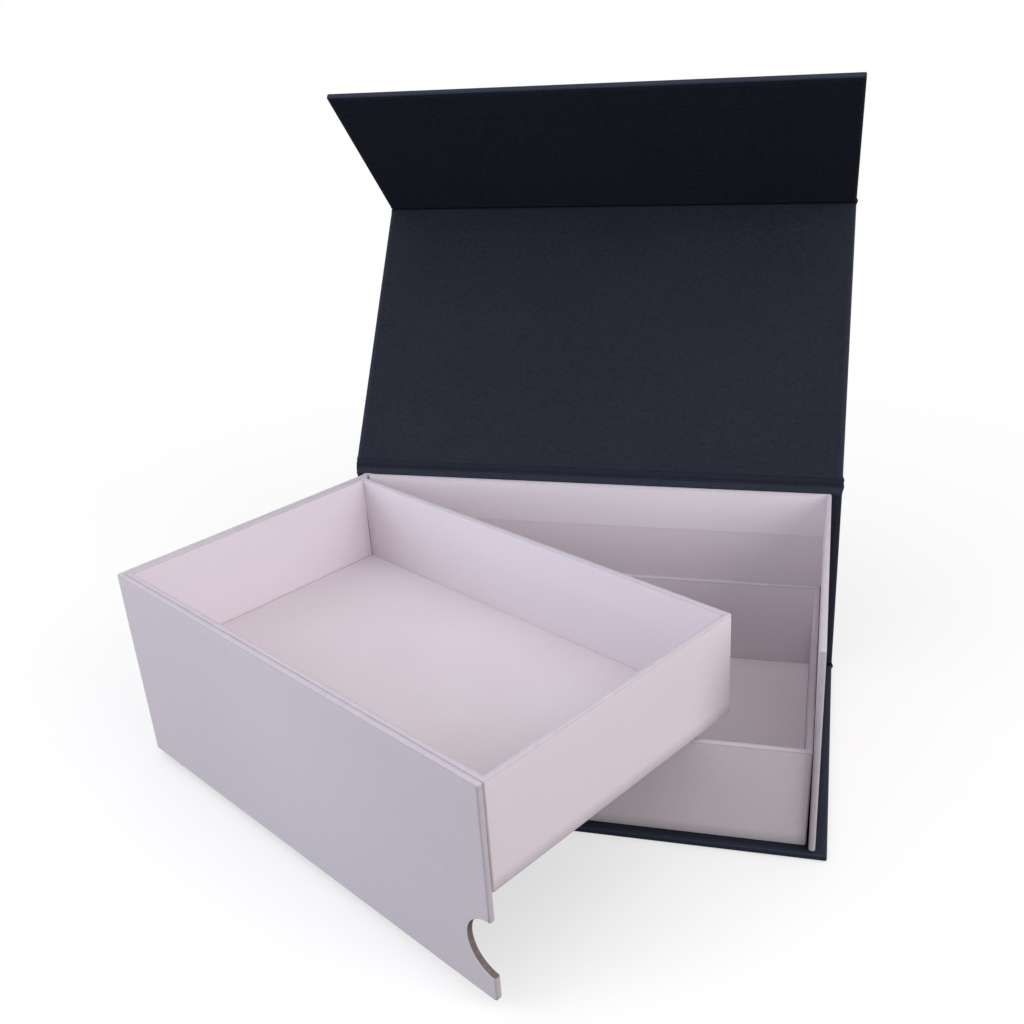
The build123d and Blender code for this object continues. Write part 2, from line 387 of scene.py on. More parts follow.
def lining(place, runs, free_end, left_line, right_line):
    """Points of a panel's inner paper. Its path comes up the board's folded edge, runs along the board
    and goes down again, or stops short of a free end, where it climbs onto the turned-in paper. It also
    stands higher over the turn-ins at the sides, whose edges run from left_line and right_line's first x
    to their second, so they are a little oblique."""
    start, end = runs
    lap_start = end - FREE_END_TURN_IN
    turn = np.linspace(0, pi / 2, EDGE_STEPS + 1)
    first = start - LINER_PROUD + LINER_BEND
    last = end - LINER_INSET if free_end else end + LINER_PROUD - LINER_BEND
    flat_run = rows(first, last, ROW_STEP, (lap_start,) if free_end else (), LAP_FINE)
    run = np.concatenate([[first - LINER_BEND], first - LINER_BEND * np.cos(turn[:-1]), flat_run])
    drop = np.concatenate([[-LINER_DEPTH], -LINER_BEND * (1 - np.sin(turn[:-1])),
                           np.zeros(len(flat_run))])
    if not free_end:
        run = np.concatenate([run, last + LINER_BEND * np.sin(turn[1:]), [last + LINER_BEND]])
        drop = np.concatenate([drop, -LINER_BEND * (1 - np.cos(turn[1:])), [-LINER_DEPTH]])
    drop = drop[:, None]
    x_half = COVER_HALF - LINER_INSET
    line_left, line_right = np.mean(left_line), np.mean(right_line)
    x = rows(-x_half, x_half, ROW_STEP, (line_left, line_right), LAP_FINE)[None, :]
    lap = np.maximum(climb(line_left - x, LAP_SLOPE), climb(x - line_right, LAP_SLOPE))
    if free_end:
        lap = np.maximum(lap, climb(run - lap_start, LAP_SLOPE)[:, None])
    along = np.clip((run - start) / (end - start), 0, 1)[:, None]
    shift = 0
    for line, middle in ((left_line, line_left), (right_line, line_right)):
        near = np.clip(1 - np.abs(x - middle) / LAP_REACH, 0, 1)
        shift = shift + near * (line[0] + (line[1] - line[0]) * along - middle)
    level = LINER_LEVEL - LAP_RISE * lap * (drop > -LINER_BEND) - drop
    inward = np.gradient(np.stack([run, level.mean(1)], -1), axis=0)
    inward *= LINER_THICKNESS / np.linalg.norm(inward, axis=1)[:, None]
    top = on_panel(place, x + shift, run[:, None], level)
    bottom = on_panel(place, x + shift, (run - inward[:, 1])[:, None], level + inward[:, :1])
    return closed_sheet(top, bottom)


def plan_path(corners, closed, radius, step):
    """Stations along the outer line of walls that meet at right angles. At an offset o inwards a station
    lies at A + o N + max(o, R) M + max(R - o, 0) D, so that outer corners turn on the radius R and inner
    ones stay sharp. The last two arrays are the radius of the section there and whether it is a cap."""
    corners = np.array(corners, float)
    following = np.roll(corners, -1, axis=0)
    count = len(corners) if closed else len(corners) - 1
    centre = corners.mean(0)
    found = []

    def station(at, n, m, d, left, is_cap=False):
        found.append((at, n, m, d, left, is_cap))

    reach, left_over = end_stations(radius)
    zero = np.zeros(2)
    normals = []
    for k in range(count):
        d = following[k] - corners[k]
        d = d / np.linalg.norm(d)
        n = np.array([-d[1], d[0]])
        normals.append(n if n @ (centre - corners[k]) > 0 else -n)
    for k in range(count):
        a, b, n = corners[k], following[k], normals[k]
        length = np.linalg.norm(b - a)
        d = (b - a) / length
        from_corner = closed or k > 0
        to_corner = closed or k < count - 1
        if not from_corner:
            station(a, n, zero, zero, 0.0, True)
            for extra, left in zip(reach, left_over):
                station(a + (radius - extra) * d, n, zero, zero, left)
        low = 0.0 if from_corner else radius
        high = length if to_corner else length - radius
        for t in rows(low, high, step):
            if (t == low and not from_corner) or (t == high and not to_corner):
                continue
            f = t / length
            m = d * ((1 - f) * from_corner - f * to_corner)
            station(a + t * d, n, m, zero, radius)
        if to_corner:
            after = normals[(k + 1) % count]
            for turn in np.linspace(0, pi / 2, EDGE_STEPS + 1)[1:-1]:
                station(b, zero, n + after, -cos(turn) * n - sin(turn) * after, radius)
        else:
            for extra, left in zip(reach[::-1], left_over[::-1]):
                station(b - (radius - extra) * d, n, zero, zero, left)
            station(b, n, zero, zero, 0.0, True)
    return [np.array(column, float) for column in zip(*found)]


def carry(path, radius, offset, height):
    """A section of offset and height carried along a path's stations. Both may differ by station."""
    starts, inward, across, bulge = path[:4]
    offset = np.broadcast_to(offset, (offset.shape[0], len(starts)))
    plan = (starts + offset[..., None] * inward + np.maximum(offset, radius)[..., None] * across
            + np.maximum(radius - offset, 0)[..., None] * bulge)
    return np.concatenate([plan, np.broadcast_to(height, offset.shape)[..., None]], -1)


def notch_depth(z, radius):
    """How far the half-round thumb notch reaches in from the free edge at a height."""
    return np.sqrt(np.maximum(radius**2 - (z - NOTCH_Z) ** 2, 0))


def upright_walls(corners, z_range, offsets=(0.0, WALL), radius=PALE_RADIUS, notch=None, wrap_line=None):
    """Points of upright walls in one wrap: a rounded rectangle of offset and height, carried round the
    corners of the plan, with rounded ends. The wrap's turned-in edge stands a little proud inside, above
    wrap_line, and the sheet below it is marked. A notch moves the points at the free edge back onto its
    half circle, and cuts square there. The free edge's foot is rounded off on a quarter circle."""
    fine = () if wrap_line is None else (wrap_line,)
    z_rows = rows(z_range[0] + radius, z_range[1] - radius, ROW_STEP, fine, WRAP_FINE)
    if notch:
        on_circle = NOTCH_Z - notch * np.cos(np.linspace(0, pi, NOTCH_POINTS))
        outside = np.abs(z_rows - NOTCH_Z) >= notch + END_ROW
        foot_rows = z_range[0] + radius + FOOT_ROWS
        z_rows = np.unique(np.concatenate([z_rows[outside], on_circle, foot_rows]))
    offset_rows = np.array([offsets[0] + radius, offsets[1] - radius])
    core, way = section_loop(offsets, z_range, radius, offset_rows, z_rows)
    path = plan_path(corners, False, radius, PANEL_STEP)
    bulge, size, cap = path[3:]
    on_face = np.abs(way[:, :1]) > 1 - TOLERANCE
    inner_side = way[:, :1] > LOOKS_INWARDS
    in_notch = (np.abs(core[:, 1:] - NOTCH_Z) < (notch or 0) - HAIR) & on_face
    at_free_end = np.arange(len(size))[None, :] >= len(size) - EDGE_STEPS - 2
    cut_square = in_notch & at_free_end
    left = np.where(cut_square, radius, size[None, :])
    offset = core[:, :1] + way[:, :1] * left
    height = core[:, 1:] + way[:, 1:] * left
    if wrap_line is not None:
        offset = offset + WRAP_PROUD * climb(height - wrap_line, WRAP_SLOPE) * inner_side
    offset = np.where(cap[None, :] > 0, sum(offsets) / 2, offset)
    points = carry(path, radius, offset, height)
    if notch:
        end = corners[-1][0]
        points[..., 0] = np.where(cut_square, end, points[..., 0])
        ramp = np.clip((points[..., 0] - end + FREE_EDGE_REACH) / FREE_EDGE_REACH, 0, 1)
        ramp = ramp * (np.arange(len(size)) > len(size) / 2)
        points[..., 0] -= notch_depth(height, notch) * in_notch * ramp
        rise = np.clip((z_range[0] + FOOT_ROUND - height) / FOOT_ROUND, 0, 1)
        points[..., 0] -= FOOT_ROUND * (1 - np.sqrt(1 - rise**2)) * ramp
    on_rim = (np.abs(way[:, 1:]) > TOLERANCE) | (size[None, :] < radius - HAIR)
    bulging = np.abs(bulge).sum(1)[None, :] > 0
    edge = np.where((on_rim | bulging) & ~cut_square, 1.0, 0.0)
    if wrap_line is not None:
        edge = np.where((edge == 0) & inner_side & (height < wrap_line), -1.0, edge)
    return points, edge


def tray_body(x_range, y_range, bottom):
    """Points of a tray's wrap: a section from the turned-in edge under the tray, up its outside, over the
    rounded rim and down its inside to the floor, carried round the four sides. The papers part a little
    in the inner corners, up to the line where the turned-in edge ends."""
    radius, top = PALE_RADIUS, bottom + TRAY_HEIGHT
    floor = bottom + PAPER + BOARD
    turn = np.linspace(0, pi / 2, EDGE_STEPS + 1)
    sine, cosine = radius * np.sin(turn), radius * np.cos(turn)
    up = rows(bottom + radius, top - radius, ROW_STEP)
    down = rows(top - radius, floor - FLOOR_TUCK, ROW_STEP)
    offset = np.concatenate([[TRAY_TURN_IN, TRAY_TURN_IN, radius + TRAY_FOOT_ROW], radius - sine[:-1],
                             np.zeros(len(up)), radius - cosine[1:], WALL - radius + sine[:-1],
                             np.full(len(down), WALL), [WALL - INNER_FOOT_STEP]])
    height = np.concatenate([[bottom + PAPER, bottom, bottom], bottom + radius - cosine[:-1],
                             up, top - radius + sine[1:], top - radius + cosine[:-1],
                             down, [bottom + PAPER]])
    (x0, x1), (y0, y1) = x_range, y_range
    path = plan_path([(x0, y0), (x1, y0), (x1, y1), (x0, y1)], True, radius, PANEL_STEP)
    in_corner = np.abs(path[2]).sum(1) > 1 - HAIR
    joint_rows = (offset == WALL) & (height < floor + CORNER_LINE)
    joint_line = joint_rows[:, None] & in_corner[None, :]
    offset = np.where(joint_line, WALL - TRAY_JOINT, offset[:, None])
    points = carry(path, radius, offset, height[:, None])
    on_rim = (height > top - radius - TOLERANCE) | (np.abs(height - bottom - radius) < radius)
    edge = np.where(on_rim[:, None] | (np.abs(path[3]).sum(1)[None, :] > 0), 1.0, 0.0)
    points = np.concatenate([points, points[:, :1]], axis=1)
    return points, np.concatenate([edge, edge[:, :1]], axis=1)


def tray_floor(x_range, y_range, bottom):
    """Points of the paper on a tray's floor, a sheet cut a little short of the walls. Its face waves by a
    sine of x times a sine of y."""
    gap = WALL + FLOOR_PAPER_GAP
    x = rows(x_range[0] + gap, x_range[1] - gap, FLOOR_STEP)
    y = rows(y_range[0] + gap, y_range[1] - gap, FLOOR_STEP)
    low = bottom + PAPER + BOARD
    grid_x, grid_y = np.meshgrid(x, y, indexing="ij")
    wave = np.sin(grid_x / FLOOR_WAVE_LENGTHS[0]) * np.sin(grid_y / FLOOR_WAVE_LENGTHS[1])
    top = np.stack([grid_x, grid_y, low + PAPER + FLOOR_WAVE + FLOOR_WAVE * wave], -1)
    under = np.stack([grid_x, grid_y, np.full(grid_x.shape, low - FLOOR_PAPER_SINK)], -1)
    return closed_sheet(top, under)


def flare(distance):
    """How much wider the papers are at a distance from a fold, where they are pressed out sideways."""
    return 1 + NUB_REACH / COVER_HALF * np.exp(-(distance / FLARE_SPAN) ** 2)


def quadratic(t, start, bend, end):
    """A quadratic curve from start to end that leaves and arrives in the direction of the bend."""
    return (1 - t) ** 2 * start + 2 * t * (1 - t) * bend + t**2 * end


def gully_slope(place, board, fold):
    """Points of the turned-in papers that bridge a gully inside: a quadratic curve from the board's inner
    face at one run down to the web next to the fold, and back under it, carried along X."""
    way = np.sign(fold - board)
    lap = board - SLOPE_LAP * way
    t = np.linspace(0, 1, SLOPE_POINTS)[:, None]
    curve = quadratic(t, np.array([lap, SLOPE_TOP]), np.array([board + SLOPE_BEND * way, SLOPE_TOP]),
                      np.array([fold, SLOPE_FOOT]))
    under = (1 - t) * np.array([lap, UNDER_TOP]) + t * np.array([fold, UNDER_FOOT])
    x = rows(-COVER_HALF, COVER_HALF, FOLD_STEP)[None, :] * flare(curve[:, :1] - fold)
    return closed_sheet(*(on_panel(place, x, line[:, :1], line[:, 1:]) for line in (curve, under)))


def corner_skin():
    """Points of the paper hinge at the back left corner: along the back, round the fold on an arc, and
    on to the swung left panel, where it tucks under the wrap. It stands upright between base and rim."""
    turn = radians(SWING)
    line = []

    def station(along, out, run=0.0, level=HINGE_OUTER):
        base = CORNER_FOLD[:2] + run * np.array(along)
        line.append((base + level * np.array(out), base + HINGE_INNER * np.array(out)))

    for run, level in BACK_TUCK:
        station((1.0, 0.0), (0.0, 1.0), run, level)
    for angle in np.linspace(0, pi / 2 - turn, HINGE_POINTS):
        station((0.0, 0.0), (-sin(angle), cos(angle)))
    for run, level in PANEL_TUCK:
        station((-sin(turn), -cos(turn)), (-cos(turn), sin(turn)), run, level)
    middle = rows(BASE_TOP + HINGE_FOOT[1], RIM - HINGE_TOP[0], PANEL_STEP)
    z = np.concatenate([[BASE_TOP + HINGE_FOOT[0]], middle, [RIM - HINGE_TOP[1]]])
    plan = np.array(line).transpose(1, 0, 2)[:, :, None, :]
    shape = (2, len(line), len(z))
    sheets = np.concatenate([np.broadcast_to(plan, shape + (2,)),
                             np.broadcast_to(z[:, None], shape + (1,))], -1)
    return closed_sheet(sheets[0], sheets[1])


def fold_skin(before, after, point, reach, soft=SOFT_FOLD):
    """Points of the two papers pressed together in a fold. Their middle line runs straight towards the
    fold point, turns there on a quadratic curve of reach soft, and runs straight on. The outer face lies
    a little above it and the inner face a little below."""
    ends = (-reach[0], -soft, soft, reach[1])
    w = np.concatenate([np.linspace(*span) for span in zip(ends, ends[1:], FOLD_POINTS)])
    w = np.unique(np.round(w, ROW_DECIMALS))
    t = np.clip((w + soft) / (2 * soft), 0, 1)[:, None]
    middle = quadratic(t, point - soft * before[1], point, point + soft * after[1])
    middle += np.minimum(w + soft, 0)[:, None] * before[1] + np.maximum(w - soft, 0)[:, None] * after[1]
    out = (1 - t) * before[2] + t * after[2]
    out /= np.linalg.norm(out, axis=1)[:, None]
    x = rows(-COVER_HALF, COVER_HALF, FOLD_STEP)
    line = np.zeros((len(w), len(x), 3)) + middle[:, None]
    line[..., 0] = x[None, :] * flare(w)[:, None]
    return closed_sheet(line + FOLD_OUTER * out[:, None], line - FOLD_INNER * out[:, None])


def crease_bead(point, radius):
    """Points of the pressed bead along a fold, with a small round nub of paper past each side."""
    turn = np.linspace(0, 2 * pi, BEAD_POINTS)[:-1, None]
    x, size = rounded_length(COVER_HALF + NUB_REACH, radius, FOLD_STEP)
    size = size * np.where(np.abs(x) > COVER_HALF - NUB_WIDTH, 1.0, BEAD_SLIMMER)
    points = np.zeros((len(turn), len(x), 3))
    points[..., 0] = x[None, :]
    points[..., 1] = point[1] + np.cos(turn) * size
    points[..., 2] = point[2] + np.sin(turn) * size
    return points


# ---------------------------------------------------------------- materials


def srgb(red, green, blue, alpha=1.0):
    """An eight-bit screen colour as linear light."""
    def linear(value):
        value /= 255
        return value / 12.92 if value <= 0.04045 else ((value + 0.055) / 1.055) ** 2.4
    return linear(red), linear(green), linear(blue), alpha


def group_of(name, inputs, outputs):
    """An empty shader node group with named number sockets, and a default for each input."""
    group = bpy.data.node_groups.new(name, "ShaderNodeTree")
    for socket, value in inputs.items():
        made = group.interface.new_socket(name=socket, in_out="INPUT", socket_type="NodeSocketFloat")
        made.default_value = value
    for socket in outputs:
        group.interface.new_socket(name=socket, in_out="OUTPUT", socket_type="NodeSocketFloat")
    return group, group.nodes.new("NodeGroupInput"), group.nodes.new("NodeGroupOutput")


def new_material(name):
    """A new material, its node tree and its surface shader."""
    material = bpy.data.materials.new(name)
    material.use_nodes = True
    return material, material.node_tree, material.node_tree.nodes["Principled BSDF"]


def add(tree, kind, settings=(), **values):
    """A node with its settings and the values or links of its inputs, by socket name or number."""
    node = tree.nodes.new(kind)
    for key, value in dict(settings).items():
        setattr(node, key, value)
    for key, value in values.items():
        numbered = key[0] == "n" and key[1:].isdigit()
        socket = node.inputs[int(key[1:]) if numbered else key.replace("_", " ")]
        if isinstance(value, bpy.types.NodeSocket):
            tree.links.new(value, socket)
        else:
            socket.default_value = value
    return node


def object_place(tree):
    """The place of a shaded point on its piece, in metres."""
    return add(tree, "ShaderNodeTexCoord").outputs["Object"]


def math(tree, operation, first, second=0.0):
    """The result of a math node."""
    return add(tree, "ShaderNodeMath", {"operation": operation}, n0=first, n1=second).outputs[0]


def noise(tree, vector, scale, detail, rough):
    """A noise between 0 and 1."""
    node = add(tree, "ShaderNodeTexNoise", Vector=vector, Scale=scale, Detail=detail, Roughness=rough)
    return node.outputs["Fac"]


def blend_colour(tree, factor, first, second):
    """A mix of two colours."""
    node = add(tree, "ShaderNodeMix", {"data_type": "RGBA"}, n0=factor, n6=first, n7=second)
    return node.outputs[2]


def spread(tree, value, low, high, low_out=0.0, high_out=1.0):
    """A value stretched from one range to another, and held at its ends."""
    node = add(tree, "ShaderNodeMapRange", n0=value, n1=low, n2=high, n3=low_out, n4=high_out)
    return node.outputs[0]


def relief(tree, shader, height, strength, distance):
    """A height felt by a surface shader as fine relief, up to a distance in metres."""
    bump = add(tree, "ShaderNodeBump", Height=height, Strength=strength, Distance=distance)
    tree.links.new(bump.outputs["Normal"], shader.inputs["Normal"])


# Papers: the share of the tooth in the relief, the relief in metres, how much of the second sheet's
# tone shows, and how far the roughness goes to either side
TOOTH_SHARE = 0.6
PAPER_RELIEF = 0.00012
SECOND_SHEET = 0.5
ROUGHNESS_SPREAD = 0.06


def paper_grain_group():
    """Fibres, a fine tooth and slow cloudiness of a sheet of paper, as a height and two tones."""
    group, given, result = group_of("paper grain", {"Tooth": 1400.0, "Fibre": 500.0, "Cloud": 14.0},
                                    ("Height", "Fine tone", "Cloud tone"))
    where = object_place(group)
    tooth = noise(group, where, given.outputs["Tooth"], detail=2.0, rough=0.6)
    stretched = add(group, "ShaderNodeMapping", Vector=where, Scale=(0.7, 1.0, 1.0)).outputs[0]
    fibre = noise(group, stretched, given.outputs["Fibre"], detail=4.0, rough=0.65)
    cloud = noise(group, where, given.outputs["Cloud"], detail=2.0, rough=0.5)
    height = math(group, "ADD", math(group, "MULTIPLY", tooth, TOOTH_SHARE),
                  math(group, "MULTIPLY", fibre, 1 - TOOTH_SHARE))
    group.links.new(height, result.inputs["Height"])
    fine = spread(group, math(group, "ADD", tooth, fibre), 0.75, 1.25)
    group.links.new(fine, result.inputs["Fine tone"])
    group.links.new(spread(group, cloud, 0.35, 0.65), result.inputs["Cloud tone"])
    return group


def edge_wear_and_shade_group():
    """Where the turned edges take their edge tone, which is the mesh's edge value broken up by noise, and
    where a second sheet lines a wall, which is its negative part. The edge tone stands for rubbed paper,
    and on the lilac-white paper also for painted shade on the rims."""
    group, given, result = group_of("edge wear and rim shade", {"Amount": 0.5}, ("Mask", "Lined"))
    edge = add(group, "ShaderNodeAttribute", {"attribute_name": "edge"}).outputs["Fac"]
    patches = noise(group, object_place(group), 220.0, detail=4.0, rough=0.7)
    broken = spread(group, patches, 0.35, 0.7, 0.8, 1.0)
    rubbed_and_shaded = math(group, "MULTIPLY", math(group, "MAXIMUM", edge, 0.0), broken)
    mask = math(group, "MULTIPLY", rubbed_and_shaded, given.outputs["Amount"])
    group.links.new(mask, result.inputs["Mask"])
    group.links.new(spread(group, edge, -1.0, 0.0, 1.0, 0.0), result.inputs["Lined"])
    return group


paper_grain = paper_grain_group()
edge_wear_and_shade = edge_wear_and_shade_group()


def paper_material(name, deep, light, worn_and_shaded, second=None, *, tooth, fibre, cloud, contrast, wear_and_shade, bump,
                   rough, shine):
    """Board paper: two tones mixed by clouds and grain, an edge tone, and a fine tooth. The edge tone
    stands for rubbed paper, and on the lilac-white paper also for painted shade on the rims. The second
    sheet on a lined wall has a tone of its own."""
    material, tree, shader = new_material(name)
    grain = add(tree, "ShaderNodeGroup", {"node_tree": paper_grain}, Tooth=tooth, Fibre=fibre,
                Cloud=cloud)
    rubbed_and_shaded = add(tree, "ShaderNodeGroup", {"node_tree": edge_wear_and_shade}, Amount=wear_and_shade)
    tone = math(tree, "ADD", math(tree, "MULTIPLY", grain.outputs["Cloud tone"], 1 - contrast),
                math(tree, "MULTIPLY", grain.outputs["Fine tone"], contrast))
    body = blend_colour(tree, tone, deep, light)
    if second:
        lined = math(tree, "MULTIPLY", rubbed_and_shaded.outputs["Lined"], SECOND_SHEET)
        body = blend_colour(tree, lined, body, second)
    # Edge tone: rubbed paper, and on the lilac-white paper also painted shade that darkens the rims.
    colour = blend_colour(tree, rubbed_and_shaded.outputs["Mask"], body, worn_and_shaded)
    tree.links.new(colour, shader.inputs["Base Color"])
    roughness = spread(tree, grain.outputs["Fine tone"], 0.0, 1.0, rough + ROUGHNESS_SPREAD,
                       rough - ROUGHNESS_SPREAD)
    tree.links.new(roughness, shader.inputs["Roughness"])
    relief(tree, shader, grain.outputs["Height"], strength=bump, distance=PAPER_RELIEF)
    shader.inputs["Specular IOR Level"].default_value = shine
    return material


navy_paper = paper_material(
    "navy board paper", deep=srgb(28, 31, 43), light=srgb(38, 43, 56), worn_and_shaded=srgb(56, 62, 80),
    tooth=1500.0, fibre=700.0, cloud=26.0, contrast=0.85, wear_and_shade=0.38, bump=0.25, rough=0.72, shine=0.16)
navy_lining = paper_material(
    "navy lining paper", deep=srgb(28, 30, 40), light=srgb(38, 42, 53), worn_and_shaded=srgb(46, 50, 64),
    tooth=1500.0, fibre=650.0, cloud=22.0, contrast=0.85, wear_and_shade=0.26, bump=0.22, rough=0.78, shine=0.1)
# The lilac-white paper's dark edge tone is partly rubbed paper and partly painted shade on the rims.
lilac_paper = paper_material(
    "lilac-white board paper", deep=srgb(216, 207, 214), light=srgb(222, 213, 220),
    worn_and_shaded=srgb(170, 162, 174), second=srgb(206, 196, 204),
    tooth=1700.0, fibre=420.0, cloud=9.0, contrast=0.6, wear_and_shade=0.68, bump=0.12, rough=0.6, shine=0.25)
lilac_floor = paper_material(
    "lilac-white floor paper", deep=srgb(213, 203, 210), light=srgb(221, 213, 219),
    worn_and_shaded=srgb(205, 194, 202),
    tooth=1700.0, fibre=420.0, cloud=9.0, contrast=0.3, wear_and_shade=0.35, bump=0.12, rough=0.62, shine=0.22)


def greyboard_material():
    """Raw greyboard: recycled pulp in pressed layers, with specks and a torn, fibrous tooth."""
    material, tree, shader = new_material("raw greyboard")
    where = object_place(tree)
    pulp = noise(tree, where, 420.0, detail=5.0, rough=0.7)
    specks = spread(tree, noise(tree, where, 1300.0, detail=2.0, rough=0.5), 0.6, 0.72)
    body = blend_colour(tree, spread(tree, pulp, 0.3, 0.7), srgb(98, 88, 89), srgb(126, 114, 113))
    colour = blend_colour(tree, math(tree, "MULTIPLY", specks, 0.5), body, srgb(70, 64, 66))
    tree.links.new(colour, shader.inputs["Base Color"])
    tree.links.new(spread(tree, pulp, 0.3, 0.7, 0.95, 0.8), shader.inputs["Roughness"])
    relief(tree, shader, pulp, strength=0.6, distance=0.0002)
    shader.inputs["Specular IOR Level"].default_value = 0.2
    return material


def steel_material(name, deep, light, rough):
    """Plated steel with a faint brushed grain and rubbed patches."""
    material, tree, shader = new_material(name)
    where = object_place(tree)
    brushed = add(tree, "ShaderNodeMapping", Vector=where, Scale=(0.08, 1.0, 1.0)).outputs[0]
    grain = noise(tree, brushed, 2600.0, detail=3.0, rough=0.6)
    patches = noise(tree, where, 300.0, detail=3.0, rough=0.5)
    tree.links.new(blend_colour(tree, patches, deep, light), shader.inputs["Base Color"])
    roughness = spread(tree, patches, 0.3, 0.7, rough - 0.08, rough + 0.1)
    tree.links.new(roughness, shader.inputs["Roughness"])
    relief(tree, shader, grain, strength=0.2, distance=0.00005)
    shader.inputs["Metallic"].default_value = 1.0
    return material


greyboard = greyboard_material()
magnet_steel = steel_material("nickel-plated magnet", srgb(176, 176, 178), srgb(206, 206, 208), 0.26)
disc_steel = steel_material("zinc-plated disc", srgb(150, 152, 156), srgb(188, 190, 194), 0.38)


def navy_piece(name, points, body, node, edge=None):
    """A piece of navy board paper that stands for a node."""
    return make_piece(name, points, navy_paper, body, [node], edge)


def lilac_piece(name, points, body, node, edge=None):
    """A piece of lilac-white board paper that stands for a node."""
    return make_piece(name, points, lilac_paper, body, [node], edge)


def grey_piece(stem, points, body, node):
    """The raw greyboard inside a wrap, which stands for a board's node."""
    make_piece(stem + "_greyboard", points, greyboard, body, [node])


# ---------------------------------------------------------------- navy cover


def navy_panel(panel, place, runs, body):
    """One board of the cover and the paper wrapped round it."""
    points, edge = wrapped_panel(place, COVER_HALF, runs, (PANEL_INSIDE, PAPER))
    navy_piece(panel + "_wrapped_board", points, body, panel + "_cover_paper", edge)
    inside = (runs[0] + PAPER, runs[1] - PAPER)
    points = wrapped_panel(place, COVER_HALF - PAPER, inside, (-BOARD, 0.0), NAVY_RADIUS - PAPER,
                           BLOCK_STEP)[0]
    grey_piece(panel, points, body, panel + "_board")


# Each panel's place, runs and body, whether its end is free, and the x where its left and right turn-ins
# end, at the first run and at the last.
panels = {
    "base": (base_place, (GULLY, BASE_RUN), "root", True, (-110, -109), (110, 108)),
    "spine": (spine_place, (GULLY, SPINE_RUN - GULLY), "root", False, (-109, -110), (109, 110)),
    "lid": (lid_place, (LID_START, LID_RUN - GULLY), "lid", False, (-109, -111), (111.6, 101.4)),
    "flap": (flap_place, (GULLY, FLAP_RUN), "flap", True, (-110, -108), (94.4, 96.4)),
}
for panel, (place, runs, body, *_) in panels.items():
    navy_panel(panel, place, runs, body)
for panel, (place, runs, body, free_end, left_line, right_line) in panels.items():
    points = lining(place, runs, free_end, left_line, right_line)
    make_piece(panel + "_inner_paper", points, navy_lining, body, [panel + "_liner"])

# Pressed papers in the gullies. The ones at moving folds belong to no body and stay where they are drawn.
base_end = (SPINE_FOOT, -base_place[1], base_place[2])
base_fold = fold_skin(base_end, spine_place, SPINE_FOOT, (6.0, 6.0))
navy_piece("base_gully_papers", base_fold, "root", "base_crease_fold")
lid_fold = fold_skin(spine_place, lid_place, LID_CREASE, (6.0, 1.6))
spine_gully_papers = navy_piece("spine_gully_papers", lid_fold, None, "lid_gully_strip")
second_fold = fold_skin(lid_place, lid_place, LID_SETTLE, (1.6, 4.0))
lid_gully_papers = navy_piece("lid_gully_papers", second_fold, None, "lid_gully_strip")
flap_fold = fold_skin(lid_place, flap_place, FLAP_CREASE, (6.0, 6.0), SOFT_FLAP_FOLD)
flap_gully_papers = navy_piece("flap_gully_papers", flap_fold, None, "flap_crease_fold")


def bend_with(piece):
    """A skin's place baked into its points, which do not turn with either body."""
    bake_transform(piece)


bend_with(spine_gully_papers)
bend_with(lid_gully_papers)
bend_with(flap_gully_papers)

beads = (("base_crease_bead", BASE_BEAD, "root", "base_crease_fold"),
         ("lid_crease_bead", LID_CREASE, "lid_gully", "lid_gully_strip"),
         ("flap_crease_bead", FLAP_CREASE, "lid", "flap_crease_fold"))
for name, point, body, node in beads:
    navy_piece(name, crease_bead(point, CREASE_RADIUS), body, node)

spine_top, lid_top = SPINE_RUN - CREASE_RADIUS, LID_RUN - CREASE_RADIUS
slopes = (("base", base_place, GULLY, CREASE_RADIUS, "root", "base_crease_fold"),
          ("spine_foot", spine_place, GULLY, CREASE_RADIUS, "root", "base_crease_fold"),
          ("spine_top", spine_place, SPINE_RUN - GULLY, spine_top, "root", "spine_cover_paper"),
          ("lid_foot", lid_place, LID_START, CREASE_RADIUS, None, "lid_gully_strip"),
          ("lid_top", lid_place, LID_RUN - GULLY, lid_top, "lid", "flap_crease_fold"),
          ("flap", flap_place, GULLY, CREASE_RADIUS, "flap", "flap_cover_paper"))
for name, place, board, fold, body, node in slopes:
    piece = navy_piece(name + "_gully_slope", gully_slope(place, board, fold), body, node)
    if body is None:
        bend_with(piece)

# ---------------------------------------------------------------- white box

back_wall_end = LEFT + WALL + BACK_WALL_GAP
points, edge = upright_walls([(back_wall_end, BACK), (RIGHT, BACK), (RIGHT, FRONT)], (BASE_TOP, RIM),
                             wrap_line=WRAP_LINE)
lilac_piece("fixed_walls_wrapped", points, "root", "fixed_wall_wrap", edge)

moving_corners = [(LEFT, BACK - PANEL_SET_BACK), (LEFT, FRONT), (FREE_EDGE, FRONT)]
points, edge = upright_walls(moving_corners, (PANEL_FOOT, RIM), notch=NOTCH_RADIUS + NOTCH_PAPER_GAP,
                             wrap_line=WRAP_LINE)
lilac_piece("swinging_walls_wrapped", swung(points), "tray", "moving_wall_wrap", edge)

# Board of the front panel. Its raw edge shows in the thumb notch.
board_left, board_front = LEFT + PAPER, FRONT + PAPER
board_corners = [(board_left, board_front + BOARD), (board_left, board_front),
                 (FREE_EDGE - PAPER, board_front)]
points = upright_walls(board_corners, (PANEL_FOOT + PAPER, RIM - PAPER), (0.0, BOARD),
                       radius=PALE_RADIUS - PAPER, notch=NOTCH_RADIUS - PAPER)[0]
grey_piece("front_panel", swung(points), "tray", "front_panel_board")

corner_papers = lilac_piece("corner_fold_papers", corner_skin(), None, "tray_crease_fold")
fold_start, fold_end = CORNER_FOLD.copy(), CORNER_FOLD.copy()
fold_start[0] += HINGE_BEND
fold_end[:2] -= HINGE_BEND * np.array([sin(radians(SWING)), cos(radians(SWING))])
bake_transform(corner_papers)

